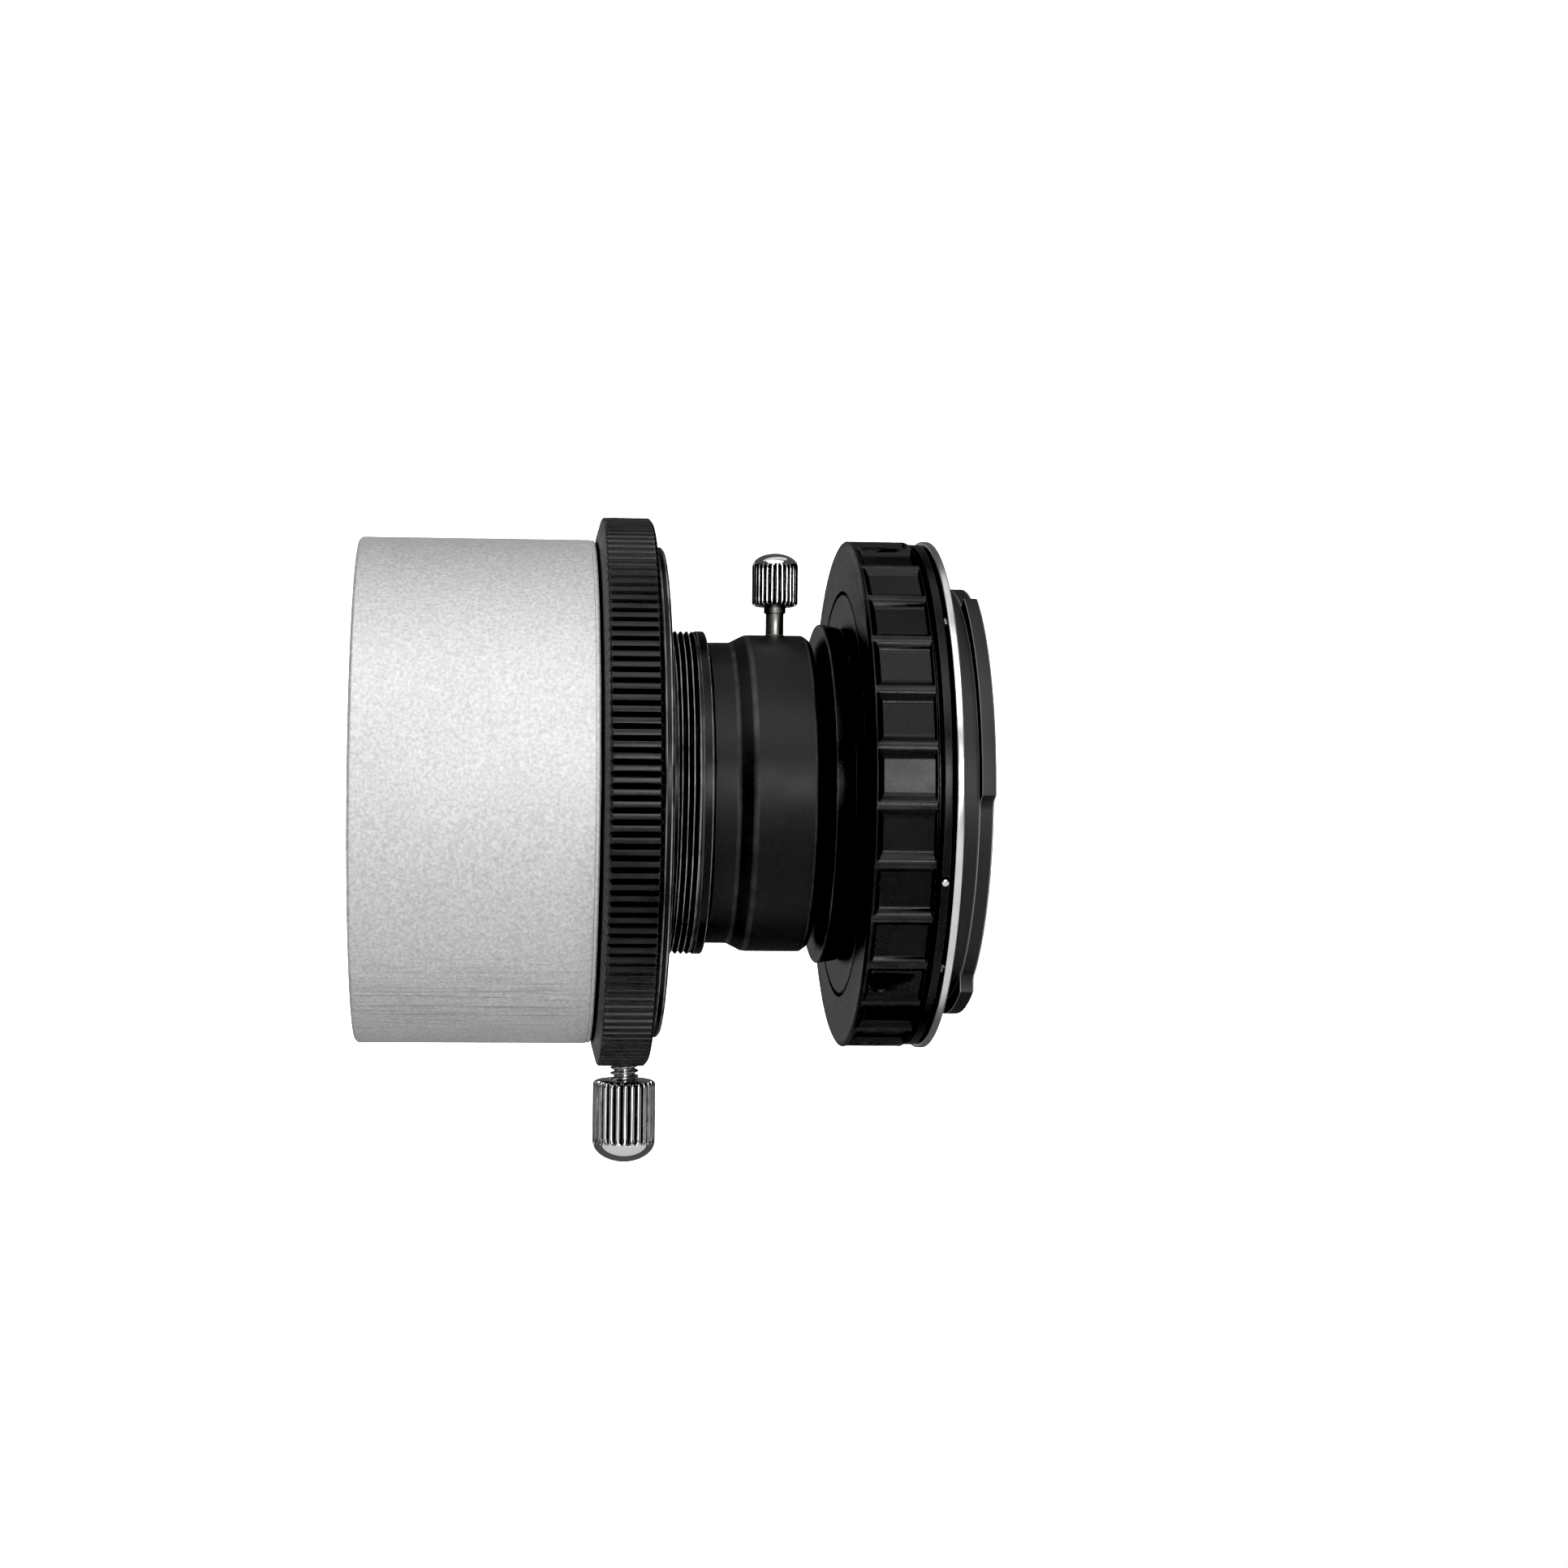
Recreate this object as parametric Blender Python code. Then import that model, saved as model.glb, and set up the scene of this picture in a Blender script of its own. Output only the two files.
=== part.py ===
"""In-line star spectroscope: draw tube, couplings, grating cell and camera ring.

Everything is turned about the light's path, which is the X axis. The telescope is
towards -X, the camera towards +X, and +Z is up. The origin is on the axis, in the
plane of the draw tube's telescope end. Outlines are in millimetres.
"""

import math

import bmesh
import bpy
from mathutils import Vector

MM = 0.001
FIT = 0.3                    # gap left between pieces that touch

# Draw tube and clamp collar (2 inch fitting).
TUBE_R = 32.6
TUBE_BORE = 30.0
TUBE_END = 30.0
COLLAR_R = 35.5
COLLAR_END = 37.4
COLLAR_BORE = 25.7
COLLAR_SCREW_X = 34.7
KNURL_COUNT = 36
KNURL_DEPTH = 0.45

# Reducing adapter: 2 inch barrel, lip, M42 x 0.75 thread.
BARREL_2_R = 25.4
BARREL_2_START = 12.0
LIP_R = 31.8
T2_R = 21.0
T2_PITCH = 0.75
THREAD_TURNS = 4
ADAPTER_END = 44.4

# Eyepiece holder (1.25 inch fitting).
HOLDER_R = 20.6
HOLDER_NECK_R = 19.57
HOLDER_END = 57.9
HOLDER_BORE = 16.1
HOLDER_SCREW_X = 53.8

# Nosepiece and grating cell.
NOSE_R = 15.875
NOSE_START = 31.0
FLANGE_R = 22.1
FLANGE_START = 59.3
CELL_R = 14.8
CELL_START = 24.0
CELL_THREAD_R = 13.95
GLASS_R = 13.0

# T-ring: front face to the bayonet plate's back is 11 mm.
RING_START = 62.4
RING_R = 32.9
RING_SPLIT_R = 26.4
RING_END = 72.1
RIB_COUNT = 29
RIB_SHARE = 0.27             # share of the pitch that a rib takes
RIB_DEPTH = 0.9
RIB_PHASE = math.radians(33.4)
SET_SCREW_X = 65.1
SET_SCREW_ANGLE = math.radians(-46.0)
PLATE_START = 72.4
PLATE_END = 73.4
PLATE_R = 33.0
LUG_END = 78.0
PLATE_SCREW_R = 29.9
PEG_X = 71.35
PEG_ANGLE = math.radians(-18.5)

# Thumbscrews, as distances from the X axis.
COLLAR_KNOB_R = 4.1
COLLAR_KNOB = (37.4, 45.3, 48.1)     # underside, end of the flutes, tip of the dome
HOLDER_KNOB_R = 3.0
HOLDER_KNOB = (24.3, 29.55, 31.3)
KNOB_FLUTES = 16

ROUND = 36                   # meridians of a large ring
SMALL = 12                   # meridians of a screw


def clear_scene():
    for old in list(bpy.data.objects):
        bpy.data.objects.remove(old, do_unlink=True)


def material(name, colour, roughness, metallic):
    made = bpy.data.materials.new(name)
    made.use_nodes = True
    shader = made.node_tree.nodes["Principled BSDF"]
    shader.inputs["Base Color"].default_value = (*colour, 1.0)
    shader.inputs["Roughness"].default_value = roughness
    shader.inputs["Metallic"].default_value = metallic
    made.diffuse_color = (*colour, 1.0)
    return made


def direction(angle):
    """The direction across the axis at an angle measured from -Y towards +Z."""
    return Vector((0.0, -math.cos(angle), math.sin(angle)))


def even_angles(count):
    return [math.tau * step / count for step in range(count)]


def rib_angles(phase, share):
    """Four meridians for each rib: its foot, its two top corners and its other foot."""
    pitch = math.tau / RIB_COUNT
    places = (0.0, 0.02, share, share + 0.02)
    return [phase + pitch * (rib + place) for rib in range(RIB_COUNT) for place in places]


def turned_mesh(outline, angles, relief=None):
    """Carry an outline of (x, radius) points round the X axis.

    An outline that starts on the axis makes a solid with a pole at each end, and any
    other outline closes into a ring. relief(x, radius, step) gives the depth taken off
    a point on one meridian.
    """
    bm = bmesh.new()
    rows = []
    for step, angle in enumerate(angles):
        across = direction(angle)
        row = []
        for x, radius in outline:
            depth = relief(x, radius, step) if relief else 0.0
            point = Vector((x, 0.0, 0.0)) + across * (radius - depth)
            row.append(bm.verts.new(point * MM))
        rows.append(row)
    spans = len(outline) if outline[0][1] > 0.0 else len(outline) - 1
    for row, following in zip(rows, rows[1:] + rows[:1]):
        for here in range(spans):
            there = (here + 1) % len(outline)
            bm.faces.new((row[here], row[there], following[there], following[here]))
    bmesh.ops.remove_doubles(bm, verts=bm.verts, dist=1e-7)
    bmesh.ops.recalc_face_normals(bm, faces=bm.faces)
    return bm


def turned(name, outline, finish, angles=None, relief=None, x=0.0, toward=None):
    """A named turned piece. With toward, its own axis leaves the X axis at x, that way."""
    bm = turned_mesh(outline, angles or even_angles(ROUND), relief)
    mesh = bpy.data.meshes.new(name)
    bm.to_mesh(mesh)
    bm.free()
    mesh.shade_smooth()
    mesh.set_sharp_from_angle(angle=math.radians(30.0))
    if finish:
        mesh.materials.append(finish)
    piece = bpy.data.objects.new(name, mesh)
    bpy.context.scene.collection.objects.link(piece)
    piece.location = (x * MM, 0.0, 0.0)
    if toward:
        turn = Vector((1.0, 0.0, 0.0)).rotation_difference(toward)
        piece.rotation_euler = turn.to_euler()
    return piece


def drill(target, radius, start, end, x=0.0, toward=None, y_z=(0.0, 0.0)):
    """Cut a round hole in a piece, from start to end along the hole's own axis."""
    outline = [(start, 0.0), (start, radius), (end, radius), (end, 0.0)]
    name = "cutter_" + target.name
    cutter = turned(name, outline, None, even_angles(SMALL), x=x, toward=toward)
    cutter.location.y = y_z[0] * MM
    cutter.location.z = y_z[1] * MM
    cutter.hide_render = True
    cutter.display_type = "WIRE"
    cut = target.modifiers.new("hole", "BOOLEAN")
    cut.operation = "DIFFERENCE"
    cut.solver = "EXACT"
    cut.object = cutter


def knurl(x, radius, step):
    """Every second meridian of the collar's rim is cut down."""
    return KNURL_DEPTH if radius >= COLLAR_R and step % 2 else 0.0


def ribs(x, radius, step):
    """The meridians between two ribs of the T-ring are cut down."""
    return RIB_DEPTH if radius >= RING_R and step % 4 in (0, 3) else 0.0


def flutes(crest):
    """Relief for a fluted knob: every second meridian of its crest is cut down."""
    return lambda x, radius, step: 0.09 * crest if radius >= crest and step % 2 else 0.0


def draw_tube(finishes):
    outline = [
        (0.0, TUBE_BORE), (0.0, TUBE_R - 0.4), (0.4, TUBE_R),
        (TUBE_END - 0.4, TUBE_R), (TUBE_END, TUBE_R - 0.4), (TUBE_END, TUBE_BORE),
    ]
    turned("draw_tube", outline, finishes["silver"])


def clamp_collar(finishes):
    """A threaded sleeve inside the tube, and a knurled rim with the brass ring's groove."""
    face = TUBE_END + FIT
    groove = (COLLAR_SCREW_X - 1.5, COLLAR_SCREW_X + 1.5)
    outline = [
        (20.0, COLLAR_BORE), (20.0, TUBE_BORE - FIT), (face, TUBE_BORE - FIT),
        (face, TUBE_R + 0.3), (face + 0.6, COLLAR_R), (COLLAR_END - 0.5, COLLAR_R),
        (COLLAR_END, COLLAR_R - 0.6), (COLLAR_END, COLLAR_BORE),
        (groove[1], COLLAR_BORE), (groove[1], COLLAR_BORE + 2.2),
        (groove[0], COLLAR_BORE + 2.2), (groove[0], COLLAR_BORE),
    ]
    collar = turned("clamp_collar", outline, finishes["black"], even_angles(2 * KNURL_COUNT), knurl)
    drill(collar, 2.15, COLLAR_BORE + 1.0, COLLAR_R + 3.0, COLLAR_SCREW_X, Vector((0, 0, -1)))


def split_ring(name, x, inner, outer, finishes):
    """A brass compression ring 2.4 mm wide, split beside its thumbscrew."""
    outline = [(x - 1.2, inner), (x - 1.2, outer), (x + 1.2, outer), (x + 1.2, inner)]
    ring = turned(name, outline, finishes["brass"])
    side = Vector((0, 1, 0))
    drill(ring, 0.9, inner - 2.0, outer + 2.0, x, side)
    for offset in (-1.2, 1.2):
        drill(ring, 0.9, inner - 2.0, outer + 2.0, x + offset, side)


def reducer_adapter(finishes):
    lip = COLLAR_END + FIT
    thread = 40.3
    outline = [
        (BARREL_2_START, 22.0), (BARREL_2_START, BARREL_2_R - 0.4),
        (BARREL_2_START + 0.5, BARREL_2_R), (31.4, BARREL_2_R), (31.9, 24.7), (36.4, 24.7),
        (36.9, BARREL_2_R), (lip, BARREL_2_R), (lip, LIP_R), (lip + 1.1, LIP_R),
        (lip + 1.1, 20.5), (thread - T2_PITCH / 2, 20.5),
    ]
    for turn in range(THREAD_TURNS):
        outline.append((thread + T2_PITCH * turn, T2_R))
        outline.append((thread + T2_PITCH * (turn + 0.5), T2_R - 0.45))
    outline += [
        (43.4, T2_R), (ADAPTER_END, T2_R), (ADAPTER_END, 19.3), (39.5, 19.3),
        (39.5, 17.5), (37.0, 17.5), (37.0, 22.0),
    ]
    turned("reducer_adapter", outline, finishes["black"])


def eyepiece_holder(finishes):
    shoulder = ADAPTER_END + FIT
    groove = (HOLDER_SCREW_X - 1.5, HOLDER_SCREW_X + 1.5)
    outline = [
        (39.9, HOLDER_BORE), (39.9, 19.0), (shoulder, 19.0), (shoulder, HOLDER_NECK_R),
        (47.7, HOLDER_NECK_R), (49.7, HOLDER_R), (57.3, HOLDER_R), (HOLDER_END, 20.1),
        (HOLDER_END, HOLDER_BORE), (groove[1], HOLDER_BORE), (groove[1], 17.9),
        (groove[0], 17.9), (groove[0], HOLDER_BORE),
    ]
    holder = turned("eyepiece_holder", outline, finishes["black"])
    drill(holder, 1.65, 17.0, HOLDER_R + 2.0, HOLDER_SCREW_X, Vector((0, 0, 1)))


def thumbscrew(side, crest, knob, outline, x, toward, finishes):
    """A threaded stud, and the fluted, domed knob that is pressed on its plain end."""
    low, shoulder, tip = knob
    turned(side + "_screw_stud", outline, finishes["steel"], even_angles(SMALL), x=x, toward=toward)
    bore = outline[-1][0] + FIT
    bore_r = outline[-2][1] + 0.25
    dome = tip - shoulder
    shape = [(bore, 0.0), (bore, bore_r), (low, bore_r), (low, crest - 0.35)]
    shape += [(low + 0.35, crest), (shoulder - 0.3, crest)]
    for step in range(4):
        rise = math.radians(22.5 * step)
        shape.append((shoulder + dome * math.sin(rise), (crest - 0.2) * math.cos(rise)))
    shape.append((tip, 0.0))
    angles = even_angles(2 * KNOB_FLUTES)
    turned(side + "_screw_knob", shape, finishes["chrome"], angles, flutes(crest), x, toward)


def thumbscrews(finishes):
    tip = COLLAR_BORE + 1.9
    stud = [(tip, 0.0), (tip, 1.5), (tip + 0.4, 1.9), (COLLAR_KNOB[0] - FIT, 1.9)]
    stud += [(COLLAR_KNOB[0] - FIT, 1.6), (41.6, 1.6), (41.6, 0.0)]
    down = Vector((0, 0, -1))
    thumbscrew("collar", COLLAR_KNOB_R, COLLAR_KNOB, stud, COLLAR_SCREW_X, down, finishes)
    tip = 17.8
    stud = [(tip, 0.0), (tip, 1.1), (tip + 0.3, 1.43), (20.5, 1.43), (20.7, 1.18)]
    stud += [(23.3, 1.18), (23.5, 1.43), (HOLDER_KNOB[0] - FIT, 1.43)]
    stud += [(HOLDER_KNOB[0] - FIT, 1.1), (27.3, 1.1), (27.3, 0.0)]
    up = Vector((0, 0, 1))
    thumbscrew("holder", HOLDER_KNOB_R, HOLDER_KNOB, stud, HOLDER_SCREW_X, up, finishes)


def nosepiece(finishes):
    back = FLANGE_START + 0.3
    outline = [
        (NOSE_START, 14.25), (NOSE_START, NOSE_R - 0.3), (NOSE_START + 0.3, NOSE_R),
        (50.0, NOSE_R), (50.5, 15.4), (56.3, 15.4), (56.8, NOSE_R), (59.0, NOSE_R),
        (59.0, 15.2), (62.2, 15.2), (62.2, 13.6), (34.0, 13.6), (34.0, 14.25),
    ]
    turned("nosepiece_barrel", outline, finishes["black"])
    outline = [
        (FLANGE_START, 15.5), (FLANGE_START, FLANGE_R - 0.5), (back + 0.2, FLANGE_R),
        (61.8, FLANGE_R), (62.1, FLANGE_R - 0.3), (62.1, 20.7), (68.0, 20.7),
        (68.0, 18.0), (62.6, 18.0), (62.6, 15.5),
    ]
    turned("nosepiece_flange", outline, finishes["black"])


def grating_cell(finishes):
    """A filter cell with the grating disc and a cover glass under a threaded ring."""
    outline = [
        (CELL_START, 13.3), (CELL_START, CELL_R - 0.3), (CELL_START + 0.3, CELL_R),
        (30.4, CELL_R), (30.7, CELL_R - 0.3), (30.7, CELL_THREAD_R), (33.2, CELL_THREAD_R),
        (33.2, 12.0), (28.4, 12.0), (28.4, 13.3),
    ]
    turned("grating_cell", outline, finishes["black"])
    for name, start, end, finish in (
        ("grating_disc", 27.1, 28.1, "grating"),
        ("cover_glass", 25.8, 26.8, "glass"),
    ):
        disc = [(start, 0.0), (start, GLASS_R), (end, GLASS_R), (end, 0.0)]
        turned(name, disc, finishes[finish])
    ring = [(24.4, 12.0), (24.4, GLASS_R), (25.5, GLASS_R), (25.5, 12.0)]
    turned("grating_retaining_ring", ring, finishes["black"])


def t_ring(finishes):
    inner = RING_SPLIT_R - FIT
    outline = [
        (RING_START, T2_R + 0.3), (RING_START, inner - 0.3), (RING_START + 0.3, inner),
        (SET_SCREW_X - 0.9, inner), (SET_SCREW_X, inner - 0.9), (SET_SCREW_X + 0.9, inner),
        (69.6, inner), (69.6, T2_R), (RING_START + 0.3, T2_R),
    ]
    turned("t_ring_inner", outline, finishes["black"])
    outline = [
        (RING_START, RING_SPLIT_R), (RING_START, RING_R - 0.9), (RING_START + 0.4, RING_R),
        (70.2, RING_R), (70.4, 31.8), (70.7, 31.8), (70.7, RING_R - 0.1),
        (RING_END, RING_R - 0.1), (RING_END, 24.0), (70.0, 24.0), (70.0, RING_SPLIT_R),
    ]
    angles = rib_angles(RIB_PHASE, RIB_SHARE)
    ring = turned("t_ring_outer", outline, finishes["black"], angles, ribs)
    for number in range(3):
        toward = direction(SET_SCREW_ANGLE + math.tau * number / 3)
        drill(ring, 1.6, RING_SPLIT_R - 1.0, RING_R + 2.0, SET_SCREW_X, toward)
        screw = [(25.6, 0.0), (26.4, 1.3), (29.6, 1.3), (29.6, 0.7), (28.4, 0.7), (28.4, 0.0)]
        name = "set_screw_" + str(number + 1)
        turned(name, screw, finishes["steel"], even_angles(SMALL), x=SET_SCREW_X, toward=toward)
    drill(ring, 0.6, 30.4, RING_R + 2.0, PEG_X, direction(PEG_ANGLE))
    peg = [(30.7, 0.0), (30.7, 0.45), (33.2, 0.45), (33.3, 0.35), (33.3, 0.0)]
    turned("index_peg", peg, finishes["steel"], even_angles(SMALL), x=PEG_X, toward=direction(PEG_ANGLE))
    return ring


def lug_relief(x, radius, step):
    """Three bayonet lugs stand out over half of the throat tube's edge."""
    return 1.7 if radius > 28.0 and x > 75.0 and step % 12 >= 6 else 0.0


def bayonet(ring, finishes):
    outline = [
        (PLATE_START, 24.6), (PLATE_START, PLATE_R), (PLATE_END, PLATE_R), (PLATE_END, 26.7),
        (76.2, 26.7), (76.2, 28.6), (LUG_END, 28.6), (LUG_END, 25.2), (PLATE_END, 24.6),
    ]
    plate = turned("bayonet_plate", outline, finishes["bright"], relief=lug_relief)
    for number in range(4):
        angle = math.radians(45.0) + math.tau * number / 4
        y, z = (PLATE_SCREW_R * part for part in direction(angle).yz)
        drill(plate, 1.05, PLATE_START - 1.0, PLATE_END + 1.0, y_z=(y, z))
        drill(plate, 1.9, PLATE_END - 0.65, PLATE_END + 1.0, y_z=(y, z))
        drill(ring, 1.05, 68.9, RING_END + 1.0, y_z=(y, z))
        screw = [(69.2, 0.0), (69.2, 0.8), (72.95, 0.8), (72.95, 1.65), (PLATE_END - 0.05, 1.65)]
        screw.append((PLATE_END - 0.05, 0.0))
        name = "plate_screw_" + str(number + 1)
        piece = turned(name, screw, finishes["steel"], even_angles(SMALL))
        piece.location.y = y * MM
        piece.location.z = z * MM


def build():
    clear_scene()
    finishes = {
        "silver": material("satin_silver", (0.62, 0.62, 0.63), 0.42, 1.0),
        "black": material("black_anodised", (0.018, 0.018, 0.019), 0.42, 0.6),
        "steel": material("bright_steel", (0.55, 0.54, 0.52), 0.28, 1.0),
        "chrome": material("chrome_plate", (0.80, 0.80, 0.81), 0.10, 1.0),
        "brass": material("spring_brass", (0.72, 0.52, 0.22), 0.32, 1.0),
        "bright": material("nickel_plate", (0.82, 0.81, 0.79), 0.22, 1.0),
        "glass": material("clear_glass", (0.92, 0.95, 0.96), 0.03, 0.0),
        "grating": material("grating_glass", (0.70, 0.74, 0.80), 0.08, 0.0),
    }
    draw_tube(finishes)
    clamp_collar(finishes)
    split_ring("collar_compression_ring", COLLAR_SCREW_X, COLLAR_BORE, COLLAR_BORE + 1.6, finishes)
    reducer_adapter(finishes)
    eyepiece_holder(finishes)
    split_ring("holder_compression_ring", HOLDER_SCREW_X, HOLDER_BORE, HOLDER_BORE + 1.4, finishes)
    thumbscrews(finishes)
    nosepiece(finishes)
    grating_cell(finishes)
    ring = t_ring(finishes)
    bayonet(ring, finishes)


build()
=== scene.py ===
"""Looks of the in-line star spectroscope: turned couplings, knurls, threads and finishes.

Every turned piece is an outline of (distance along an axis, radius) points carried round
that axis, and a third number is a corner's rounding. Outlines are in millimetres and
meshes in metres. The light's path is the X axis, the telescope is towards -X and the
camera body towards +X.
"""

import math

import bmesh
import bpy
import numpy as np
from mathutils import Matrix, Vector


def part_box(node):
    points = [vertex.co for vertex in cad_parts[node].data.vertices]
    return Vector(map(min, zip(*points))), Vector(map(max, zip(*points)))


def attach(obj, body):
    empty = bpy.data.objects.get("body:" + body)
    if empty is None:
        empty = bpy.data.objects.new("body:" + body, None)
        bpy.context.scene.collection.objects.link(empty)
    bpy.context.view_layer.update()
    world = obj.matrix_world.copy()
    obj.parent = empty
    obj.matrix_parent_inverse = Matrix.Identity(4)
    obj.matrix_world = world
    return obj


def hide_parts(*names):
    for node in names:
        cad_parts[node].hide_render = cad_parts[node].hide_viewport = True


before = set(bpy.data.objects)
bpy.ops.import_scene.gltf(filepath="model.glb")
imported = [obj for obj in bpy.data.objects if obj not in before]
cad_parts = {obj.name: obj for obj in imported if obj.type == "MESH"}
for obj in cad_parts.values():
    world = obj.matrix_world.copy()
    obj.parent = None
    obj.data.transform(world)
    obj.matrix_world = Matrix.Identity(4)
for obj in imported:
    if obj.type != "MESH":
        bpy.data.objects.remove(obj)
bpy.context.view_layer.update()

MM = 0.001
TURN = math.tau

# The clamp collar's straight knurl and the knobs' flutes.
KNURL_RIDGES = 156
KNURL_DEPTH = 0.55
FLUTES = 26

# The T-ring's gripping ribs. Share, crest and slope are parts of the ribs' pitch.
RIBS = 29
RIB_DEPTH = 0.85
RIB_SHARE = 0.27
RIB_CREST = 0.07
RIB_SLOPE = 0.17
RIB_PHASE = math.radians(33.4)

# Threads: pitches, and the radius of the camera-adapter thread's crests.
T2_PITCH = 0.75
T2_CREST = 21.0
M4_PITCH = 0.7
M3_PITCH = 0.5
M2_6_PITCH = 0.45

# The 2 inch barrel's radius, and the small clearance kept where one piece stops short of another.
BARREL_2_INCH = 25.4
GAP = 0.3

# The blasted grain of the aluminium pieces, in clouds of noise per metre.
BLAST_GRAIN = 5200.0

UP = Vector((0, 0, 1))
DOWN = Vector((0, 0, -1))
ALONG = Vector((1, 0, 0))


# ---------------------------------------------------------------- shapes

def span(node):
    """Start, end and largest radius of a node turned about X, in millimetres."""
    low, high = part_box(node)
    return low.x / MM, high.x / MM, (high.z - low.z) / 2 / MM


def aside(angle):
    """The direction across the X axis at an angle measured from -Y towards +Z."""
    return Vector((0.0, -math.cos(angle), math.sin(angle)))


def rounded(corners, steps=5, closed=True):
    """Outline with its corners rounded, and how much each point lies on an edge.

    Each corner is (along, radius, rounding). It becomes a parabolic arc that leaves each
    side where the rounding says: (1-s)^2 P + 2s(1-s) C + s^2 Q, with C the corner and
    P, Q the points on its two sides. Points on an arc count 1 and the others 0.
    """
    corners = np.array(corners, float)
    spots, edge = [], []
    last = len(corners) - 1
    s = np.linspace(0.0, 1.0, steps)[:, None]
    for number, (along, radius, size) in enumerate(corners):
        here = np.array((along, radius))
        if size <= 0.0 or (not closed and number in (0, last)):
            spots.append(here[None])
            edge.append(np.zeros(1))
            continue
        ends = []
        for other in (corners[number - 1, :2], corners[(number + 1) % (last + 1), :2]):
            away = other - here
            length = np.hypot(*away)
            ends.append(here + away / length * min(size, 0.48 * length))
        spots.append((1 - s) ** 2 * ends[0] + 2 * s * (1 - s) * here + s ** 2 * ends[1])
        edge.append(np.sin(np.pi * s[:, 0]) ** 0.5)
    return np.concatenate(spots), np.concatenate(edge)


def frame_of(toward):
    """The direction of a turned piece's axis and the two directions that span its disc."""
    if toward == ALONG:
        return ALONG, aside(0.0), UP
    first = toward.cross(ALONG).normalized()
    return toward, first, toward.cross(first)


def fill(name, points, faces, edge):
    """Mesh object from arrays, welded at its poles, with faces turned outwards."""
    mesh = bpy.data.meshes.new(name)
    mesh.from_pydata(points.tolist(), [], faces.tolist())
    mesh.attributes.new("edge", "FLOAT", "POINT").data.foreach_set("value", edge)
    bm = bmesh.new()
    bm.from_mesh(mesh)
    bmesh.ops.remove_doubles(bm, verts=bm.verts, dist=1e-8)
    bmesh.ops.recalc_face_normals(bm, faces=bm.faces)
    bm.to_mesh(mesh)
    bm.free()
    mesh.shade_smooth()
    mesh.set_sharp_from_angle(angle=math.radians(38.0))
    piece = bpy.data.objects.new(name, mesh)
    bpy.context.scene.collection.objects.link(piece)
    return piece


def turned(
    name, outline, edge=None, count=160, radius=None, shift=None, wear_glint_and_shade=None, x=0.0, toward=ALONG
):
    """Outline carried round an axis: point = axis * a + (cos t * u + sin t * v) * r.

    radius(a, r, t) may give the radius at each point of the grid from its place along
    the axis, its radius in the outline and its angle. shift(a, r, t) moves it along, and
    the marking function (a, r, t) says how rubbed it is, partly real wear and partly a painted
    highlight, and on the knobs how deep in a flute valley it is, for painted shade. An outline
    that starts on the axis is closed by a pole at each end, and others run round as a ring.
    """
    outline = np.array(outline, float)
    edge = np.zeros(len(outline)) if edge is None else edge
    angle = np.linspace(0.0, TURN, count, endpoint=False)[:, None]
    along = np.broadcast_to(outline[:, 0], (count, len(outline)))
    reach = np.broadcast_to(outline[:, 1], (count, len(outline)))
    angle = np.broadcast_to(angle, along.shape)
    bent = radius(along, reach, angle) if radius else reach
    moved = shift(along, reach, angle) if shift else along
    axis, first, second = (np.array(part) for part in frame_of(toward))
    points = moved[..., None] * axis
    points = points + (bent * np.cos(angle))[..., None] * first
    points = points + (bent * np.sin(angle))[..., None] * second
    points = points * MM + np.array((x * MM, 0.0, 0.0))
    ring = outline[0, 1] > 0.0
    here = np.arange(points[..., 0].size).reshape(along.shape)
    there, over = np.roll(here, -1, 1), np.roll(here, -1, 0)
    across = np.roll(over, -1, 1)
    stop = None if ring else -1
    faces = np.stack([part[:, :stop].ravel() for part in (here, there, across, over)], 1)
    rubbed = np.broadcast_to(edge, along.shape)
    if wear_glint_and_shade:
        rubbed = np.maximum(rubbed, wear_glint_and_shade(along, reach, angle))
    return fill(name, points.reshape(-1, 3), faces, rubbed.ravel())


def smooth(low, high, value):
    """Zero below low, one above high and an S curve between them."""
    share = np.clip((value - low) / (high - low), 0.0, 1.0)
    return share * share * (3 - 2 * share)


def tooth(count, angle):
    """Distance from the nearest ridge's middle, 0 on it and 1 half-way to the next."""
    place = (count * angle / TURN) % 1.0
    return 1.0 - np.abs(2.0 * place - 1.0)


def helix(pitch, depth, start, end, fade=0.6):
    """Radius and crest marks of a screw thread: r - depth * groove(a / pitch - t / 2 pi). The
    crest marks are partly real wear and partly a painted highlight.

    groove is a triangle wave with its tops cut off for flat crests and roots. The depth
    fades in and out over a short run at each end.
    """
    def groove(along, angle):
        wave = 1.0 - np.abs(2.0 * ((along / pitch - angle / TURN) % 1.0) - 1.0)
        run = smooth(start, start + fade, along) * (1.0 - smooth(end - fade, end, along))
        return np.clip(1.3 * wave - 0.2, 0.0, 1.0), run

    def radius(along, reach, angle):
        sunk, run = groove(along, angle)
        return reach - depth * sunk * run

    # Crest mark: rubbed bare crests that also stand for a painted highlight.
    def crest(along, reach, angle):
        sunk, run = groove(along, angle)
        return (1.0 - smooth(0.0, 0.12, sunk)) * run
    return radius, crest


def rows(start, end, radius, step):
    """Closely spaced outline points at one radius, for a stretch that carries a thread."""
    places = np.arange(start, end, step)
    return np.stack([places, np.full(len(places), radius), np.zeros(len(places))], 1).tolist()


def cut_away(piece, cutter):
    """Take one closed piece out of another and throw it away."""
    cut = piece.modifiers.new("hole", "BOOLEAN")
    cut.operation = "DIFFERENCE"
    cut.solver = "EXACT"
    cut.object = cutter
    whole = piece.evaluated_get(bpy.context.evaluated_depsgraph_get())
    mesh = bpy.data.meshes.new_from_object(whole)
    piece.modifiers.clear()
    piece.data = mesh
    bpy.data.objects.remove(cutter)


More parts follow.
